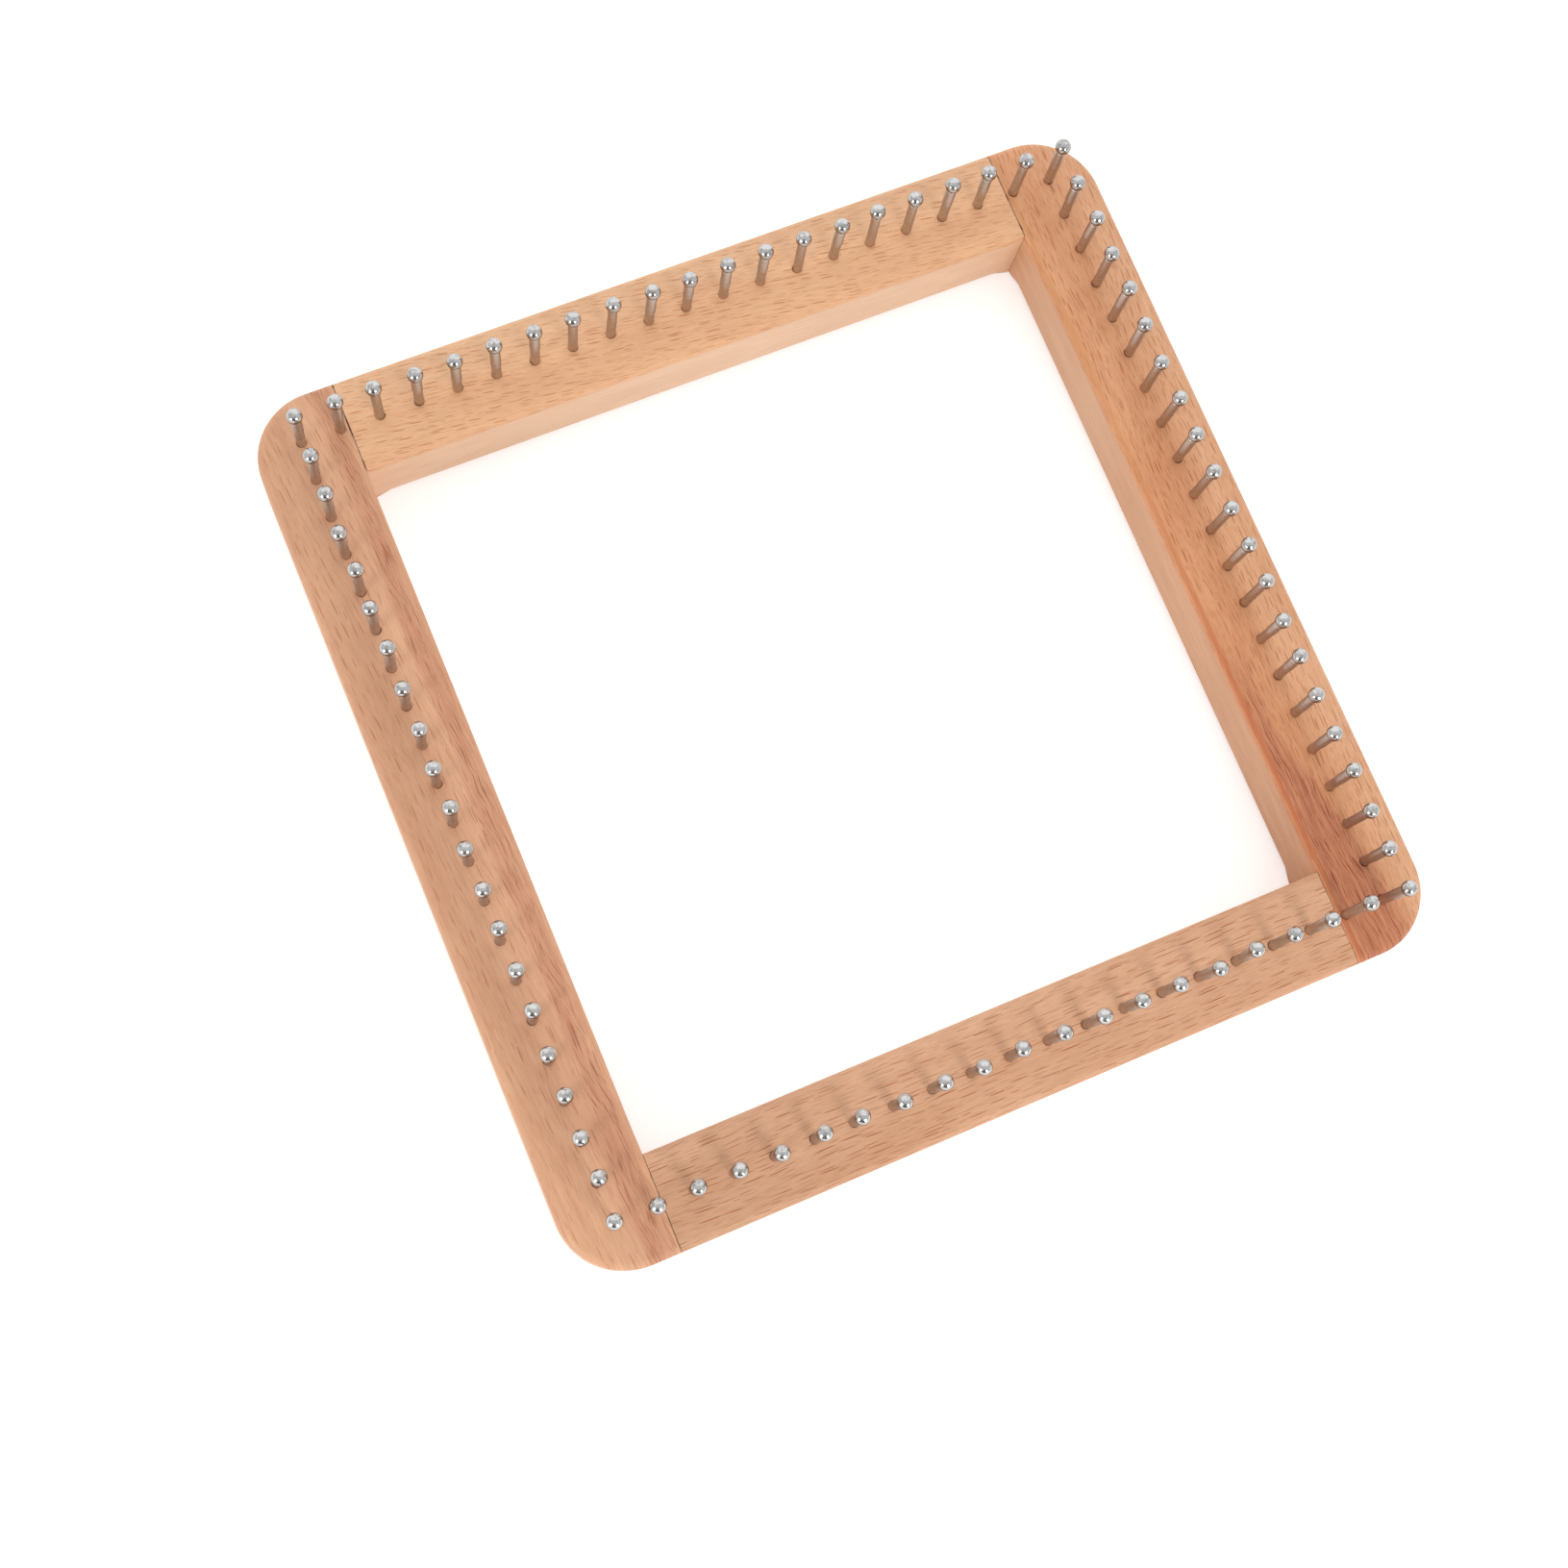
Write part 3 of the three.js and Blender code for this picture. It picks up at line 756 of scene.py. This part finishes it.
blank, bit = boardBlank(), windowBit()
holeTree, holeInputs = makeHoleTree()
for side, name, node, slotName in (
        ("left", "leftStile", "left_stile", "stile_beech"),
        ("right", "rightStile", "right_stile", "stile_beech"),
        ("top", "topRail", "top_rail", "rail_beech"),
        ("bottom", "bottomRail", "bottom_rail", "rail_beech")):
    member = linked(name, blank.data.copy())
    share = memberBox(side)
    cutWith(member, share, "INTERSECT")
    cutWith(member, bit, "DIFFERENCE")
    material = stileMaterial(side) if side in stileLook else railMaterial(side)
    addTree(member, holeTree, holeInputs, {
        "Pins Per Side": pinLayout["pinsPerSide"], "Pitch": pinLayout["pitch"], "Material": material,
        "Hole Diameter": holeShape["diameter"], "Hole Depth": holeShape["depth"], "Face Height": faceHeight})
    settle(member)
    softenShading(member, boardShape["sharpDegrees"], boardShape["flatWeight"])
    bpy.data.objects.remove(share)
    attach(member, "root")
    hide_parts(node)
    print(name, "made:", len(member.data.polygons), "faces")
for tool in (blank, bit):
    bpy.data.objects.remove(tool)


pinShape = {
    "shaftRadius": 0.00120,
    "ballRadius": 0.00195,
    "ballHeight": 0.0173,  # of the ball's centre over the face
    "depth": 0.0088,  # of the foot below the face
    "tipChamfer": 0.0004,
    "collarRadius": 0.00148,
    "collarHeight": 0.00042,
    "collarSteps": (0.2, 0.5, 0.8),
    "ribPitch": 0.00090,
    "ribRise": 0.00012,
    "ribSteps": 4,
    "ribGap": 0.0003,  # from the last rib to the collar
    "ribCounts": (0, 8, 10),  # one kind of pin for each
    "hold": 0.0001,  # of the rings that keep the shaft's shading straight
    "sides": 20,
    "ballFacets": 12,
    "poleShare": 0.05,
}
pinScatter = {"lean": 1.1, "sink": 0.0003, "wander": 0.0001, "seed": 11}


def pinProfile(ribCount):
    shape = pinShape
    shaft, ball, centre = shape["shaftRadius"], shape["ballRadius"], shape["ballHeight"]
    chamfer, hold, steps = shape["tipChamfer"], shape["hold"], shape["ribSteps"]
    profile = [(shaft - chamfer, -shape["depth"])]
    profile += [(shaft, -shape["depth"] + part * chamfer) for part in (1, 2)]
    neck = -math.acos(shaft / ball)
    collarTop = centre + ball * math.sin(neck)
    collarLow = collarTop - shape["collarHeight"]
    ribStart = collarLow - shape["ribGap"] - ribCount * shape["ribPitch"]
    if ribCount:
        profile.append((shaft, ribStart - hold))
        for i in range(ribCount * steps + 1):
            rise = shape["ribRise"] * (0.5 - 0.5 * math.cos(i * 2 * math.pi / steps))
            profile.append((shaft + rise, ribStart + i * shape["ribPitch"] / steps))
    profile += [(shaft, collarLow - hold), (shaft, collarLow)]
    for part in shape["collarSteps"]:
        rise = (shape["collarRadius"] - shaft) * math.sin(part * math.pi)
        profile.append((shaft + rise, collarLow + part * shape["collarHeight"]))
    for i in range(shape["ballFacets"]):
        angle = neck + i / shape["ballFacets"] * (math.pi / 2 - neck)
        profile.append((ball * math.cos(angle), centre + ball * math.sin(angle)))
    profile.append((ball * shape["poleShare"], centre + ball))
    return profile


steelLook = {
    # The ball's lower half is painted darker and warmer: painted shade and a painted reflection of the wood
    # below it.
    "ball": (0.60, 0.59, 0.58, 1), "ballDark": (0.38, 0.37, 0.36, 1), "ballUnderShade": (0.37, 0.33, 0.30, 1),
    "shaft": (0.58, 0.52, 0.47, 1), "shaftDark": (0.45, 0.39, 0.345, 1), "shaftDarkAmount": 0.6,
    # The shaft's foot colour is lighter: painted light against the shade round the foot.
    "shaftFootLit": (0.68, 0.585, 0.51, 1), "pit": (0.12, 0.11, 0.10, 1), "grazing": (0.70, 0.66, 0.62, 1),
    "ballRoughness": 0.15, "shaftRoughness": 0.36, "darkRoughness": 0.10, "pitRoughness": 0.2,
    "cloudNoise": (620.0, 3.0, 0.6), "dentScale": 900.0, "speckNoise": (2200.0, 2.0),
    "darkRange": (0.48, 0.70), "pitRange": (0.62, 0.74, 0.0, 0.8),
    "neckEase": 0.0006, "underEase": 0.0015, "footEase": 0.006,
    "cloudLift": 0.6, "pitDepth": 0.4, "shaftDents": 0.25, "bumpStrength": 0.5, "bumpDistance": 0.00012,
}


def steelMaterial():
    look = steelLook
    material, tree, place, surface = newMaterial("pinSteel")
    cloudy = solidNoise(tree, place, *look["cloudNoise"])
    dents = put(tree, "ShaderNodeTexVoronoi", {
        "Vector": place, "Scale": look["dentScale"], "Randomness": 1.0}, feature="SMOOTH_F1")
    specks = solidNoise(tree, place, *look["speckNoise"])
    dark = ease(tree, cloudy, *look["darkRange"])
    height = splitPlace(tree, place)["Z"]
    centre = faceHeight + pinShape["ballHeight"]
    neck = centre - pinShape["ballRadius"]
    onBall = ease(tree, height, neck, neck + look["neckEase"])
    pitted = calc(tree, "MULTIPLY", ease(tree, specks, *look["pitRange"]), onBall)

    ball = blendColour(tree, dark, look["ball"], look["ballDark"])
    # Below its middle the ball takes the darker, warmer colour: painted shade and a painted reflection of the
    # wood.
    onTop = ease(tree, height, centre, centre + look["underEase"])
    ball = blendColour(tree, onTop, look["ballUnderShade"], ball)
    # Towards its foot the shaft is painted lighter: painted light that offsets the shade there.
    aboveFoot = ease(tree, height, faceHeight, faceHeight + look["footEase"])
    bright = blendColour(tree, aboveFoot, look["shaftFootLit"], look["shaft"])
    stained = calc(tree, "MULTIPLY", dark, look["shaftDarkAmount"])
    shaft = blendColour(tree, stained, bright, look["shaftDark"])
    colour = blendColour(tree, onBall, shaft, ball)
    colour = blendColour(tree, pitted, colour, look["pit"])

    rough = ease(tree, onBall, 0.0, 1.0, look["shaftRoughness"], look["ballRoughness"])
    rough = calc(tree, "MULTIPLY_ADD", pitted, look["pitRoughness"], rough)
    rough = calc(tree, "MULTIPLY_ADD", dark, look["darkRoughness"], rough)
    uneven = calc(tree, "MULTIPLY_ADD", cloudy, look["cloudLift"], dents.outputs["Distance"])
    uneven = calc(tree, "MULTIPLY_ADD", pitted, -look["pitDepth"], uneven)
    uneven = calc(tree, "MULTIPLY", uneven, ease(tree, onBall, 0.0, 1.0, look["shaftDents"], 1.0))
    addSurface(tree, surface, look, uneven, {
        "Base Color": colour, "Metallic": 1.0, "Roughness": rough, "Specular Tint": look["grazing"]})
    return material


def randomVector(tree, seed, low, high):
    node = tree.nodes.new("FunctionNodeRandomValue")
    node.data_type = "FLOAT_VECTOR"
    for number, values in enumerate((low, high)):
        tree.links.new(joinPlace(tree, **dict(zip("XYZ", values))), node.inputs[number])
    tree.links.new(seed, node.inputs["Seed"])
    return node.outputs[0]


def makePinTree():
    tree = bpy.data.node_groups.new("pinRows", "GeometryNodeTree")
    names = makeSockets(tree, {
        "Geometry": "Geometry", "Kinds": "Collection", "Pins Per Side": "Int", "Pitch": "Float",
        "Face Height": "Float", "Lean": "Float", "Sink": "Float", "Wander": "Float", "Seed": "Int",
        "Material": "Material",
    }, {"Pins": "Geometry"})
    given = tree.nodes.new("NodeGroupInput").outputs
    minusWander = calc(tree, "MULTIPLY", given["Wander"], -1.0)
    lowered = calc(tree, "SUBTRACT", given["Face Height"], given["Sink"])
    raised = randomVector(
        tree, calc(tree, "ADD", given["Seed"], 0.0), (minusWander, minusWander, lowered),
        (given["Wander"], given["Wander"], given["Face Height"]))
    spots = put(tree, "GeometryNodeSetPosition", {
        "Geometry": pinPoints(tree, given), "Offset": raised}).outputs[0]
    kinds = put(tree, "GeometryNodeCollectionInfo", {
        "Collection": given["Kinds"], "Separate Children": True, "Reset Children": True}).outputs[0]
    minusLean = calc(tree, "MULTIPLY", given["Lean"], -1.0)
    turn = randomVector(tree, calc(tree, "ADD", given["Seed"], 1.0),
                        (minusLean, minusLean, -math.pi), (given["Lean"], given["Lean"], math.pi))
    pick = tree.nodes.new("FunctionNodeRandomValue")
    pick.data_type = "INT"
    pick.inputs[4].default_value = 0
    pick.inputs[5].default_value = len(pinShape["ribCounts"]) - 1
    tree.links.new(calc(tree, "ADD", given["Seed"], 2.0), pick.inputs["Seed"])
    pins = put(tree, "GeometryNodeInstanceOnPoints", {
        "Points": spots, "Instance": kinds, "Pick Instance": True, "Instance Index": pick.outputs[2],
        "Rotation": turn}).outputs[0]
    real = put(tree, "GeometryNodeRealizeInstances", {"Geometry": pins}).outputs[0]
    sockets = {"Geometry": real, "Material": given["Material"]}
    finished = put(tree, "GeometryNodeSetMaterial", sockets).outputs[0]
    tree.links.new(finished, tree.nodes.new("NodeGroupOutput").inputs["Pins"])
    return tree, names


pinKinds = bpy.data.collections.new("pinKinds")
kindPieces = []
for ribCount in pinShape["ribCounts"]:
    name = "pinKind" + str(ribCount)
    kind = bpy.data.objects.new(name, latheMesh(name, pinProfile(ribCount), pinShape["sides"]))
    pinKinds.objects.link(kind)
    kindPieces.append(kind)
pinTree, pinInputs = makePinTree()
pins = linked("steelPins", bpy.data.meshes.new("steelPins"))
addTree(pins, pinTree, pinInputs, {
    "Kinds": pinKinds, "Pins Per Side": pinLayout["pinsPerSide"], "Pitch": pinLayout["pitch"],
    "Face Height": faceHeight, "Lean": math.radians(pinScatter["lean"]), "Sink": pinScatter["sink"],
    "Wander": pinScatter["wander"], "Seed": pinScatter["seed"], "Material": steelMaterial()})
settle(pins)
for kind in kindPieces:
    bpy.data.objects.remove(kind)
bpy.data.collections.remove(pinKinds)
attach(pins, "root")
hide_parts(*[name for name in cadNodes if "_pins_" in name])
print("pins made:", len(pins.data.polygons), "faces")


dowelLook = {
    "pale": (226, 190, 150), "tan": (210, 168, 126), "streak": (198, 146, 104), "fleck": (156, 104, 72),
    "wallPale": (226, 190, 150), "wallTan": (210, 168, 126),
    "streakAmount": 0.3, "fleckAmount": 0.5, "fleckStrength": 0.6, "fleckLength": 0.002,
    "fleckWidth": 0.00016, "fleckGap": 0.001, "fleckReach": 0.004, "tilt": 0.0, "shift": (0.2, 0.6, 0.0),
    "roughness": 0.7, "fleckRoughness": 0.1, "bumpStrength": 0.4, "bumpDistance": 0.0001,
}


def dowelMaterial():
    look = dowelLook
    material, tree, place, surface = newMaterial("dowelBeech")
    turned = turnedPlace(tree, place, look["tilt"], look["shift"])
    height = splitPlace(tree, place)["Z"]
    grain = useGroup(tree, beechGrain, grainSockets(look, tree, place, turned, height))
    rough = calc(tree, "MULTIPLY_ADD", grain["Flecks"], look["fleckRoughness"], look["roughness"])
    addSurface(tree, surface, look, grain["Height"], {"Base Color": grain["Color"], "Roughness": rough})
    return material


dowelBeech = dowelMaterial()
for name, node in cadNodes.items():
    if name.endswith("_dowel"):
        for place in node.material_slots:
            place.material = dowelBeech
print("dowels finished")


floorLook = {
    "half": 12.0, "drop": 0.0002, "colour": 0.80, "glow": 0.50,
    "unevenNoise": (6.0, 2.0), "unevenRange": (0.2, 0.8), "spread": 0.01,
}


def makeFloor():
    look = floorLook
    half, z = look["half"], -look["drop"]
    corners = [(-half, -half, z), (half, -half, z), (half, half, z), (-half, half, z)]
    floor = linked("floor", meshFrom("floor", corners, [(0, 1, 2, 3)]))
    material, tree, place, surface = newMaterial("paleFloor")
    uneven = solidNoise(tree, place, *look["unevenNoise"])
    darkest, palest = look["colour"] - look["spread"], look["colour"] + look["spread"]
    level = ease(tree, uneven, *look["unevenRange"], darkest, palest)
    paper = put(tree, "ShaderNodeCombineColor", {0: level, 1: level, 2: level}).outputs[0]
    matte = put(tree, "ShaderNodeBsdfDiffuse", {"Color": paper})
    rays = put(tree, "ShaderNodeLightPath").outputs
    seen = calc(tree, "MAXIMUM", rays["Is Camera Ray"],
                calc(tree, "MAXIMUM", rays["Is Glossy Ray"], rays["Is Transmission Ray"]))
    glow = put(tree, "ShaderNodeEmission", {
        "Color": (1, 1, 1, 1), "Strength": calc(tree, "MULTIPLY", seen, look["glow"])})
    both = put(tree, "ShaderNodeAddShader", {0: matte.outputs[0], 1: glow.outputs[0]})
    tree.links.new(both.outputs[0], surface)
    floor.data.materials.append(material)


makeFloor()

# The studio is dimmer on the near side, where the camera stands, than on the far side.
worldLight = {
    "near": (0.14, 0.14, 0.14, 1), "middle": (0.77, 0.78, 0.79, 1), "far": (0.84, 0.86, 0.88, 1),
    "strength": 1.0, "farBearing": 67, "nearRange": (-0.9, -0.3), "farRange": (0.0, 1.0),
}
world = bpy.data.worlds.new("studio")
bpy.context.scene.world = world
world.use_nodes = True
sky = world.node_tree
farBearing = math.radians(worldLight["farBearing"])
farWay = (math.cos(farBearing), math.sin(farBearing), 0)
towards = put(sky, "ShaderNodeVectorMath", {
    0: put(sky, "ShaderNodeTexCoord").outputs["Generated"], 1: farWay},
    operation="DOT_PRODUCT").outputs["Value"]
offNear, toFar = (ease(sky, towards, *worldLight[span]) for span in ("nearRange", "farRange"))
nearHalf = blendColour(sky, offNear, worldLight["near"], worldLight["middle"])
wholeSky = blendColour(sky, toFar, nearHalf, worldLight["far"])
sky.links.new(wholeSky, sky.nodes["Background"].inputs["Color"])
sky.nodes["Background"].inputs["Strength"].default_value = worldLight["strength"]

# Each softbox stands at a bearing and a height above the horizon, in degrees, and faces the board.
softboxes = {
    "nearSoftbox": {"bearing": -82, "height": 22, "distance": 1.0, "size": (0.34, 0.50), "power": 3.7},
    "leftSoftbox": {"bearing": -158, "height": 16, "distance": 1.0, "size": (0.36, 0.42), "power": 3.1},
    "farPanel": {"bearing": 67, "height": 34, "distance": 1.4, "size": (3.4, 2.6), "power": 11.5},
}
lampAim = Vector((0, 0, 0.03))
for name, box in softboxes.items():
    lamp = bpy.data.lights.new(name, "AREA")
    lamp.shape = "RECTANGLE"
    lamp.size, lamp.size_y = box["size"]
    lamp.energy = box["power"]
    bearing, height = math.radians(box["bearing"]), math.radians(box["height"])
    level = Vector((math.cos(bearing), math.sin(bearing), 0)) * math.cos(height)
    toBox = level + Vector((0, 0, math.sin(height)))
    holder = bpy.data.objects.new(name, lamp)
    holder.location = lampAim + toBox * box["distance"]
    holder.rotation_euler = toBox.to_track_quat("Z", "Y").to_euler()
    bpy.context.scene.collection.objects.link(holder)

cameraView = {
    "location": (-0.11891, -0.10521, 0.56123),
    "turnDegrees": (11.9832, -5.7536, -22.8269),
    "lens": 53.493,
    "sensor": 36.0,
    "clip": (0.01, 20.0),
}
lens = bpy.data.cameras.new("photoView")
lens.sensor_width = cameraView["sensor"]
lens.lens = cameraView["lens"]
lens.clip_start, lens.clip_end = cameraView["clip"]
camera = bpy.data.objects.new("photoView", lens)
camera.location = cameraView["location"]
camera.rotation_euler = [math.radians(angle) for angle in cameraView["turnDegrees"]]
bpy.context.scene.collection.objects.link(camera)
bpy.context.scene.camera = camera
bpy.context.scene.view_settings.view_transform = "Standard"
print("stage, lights and camera set")
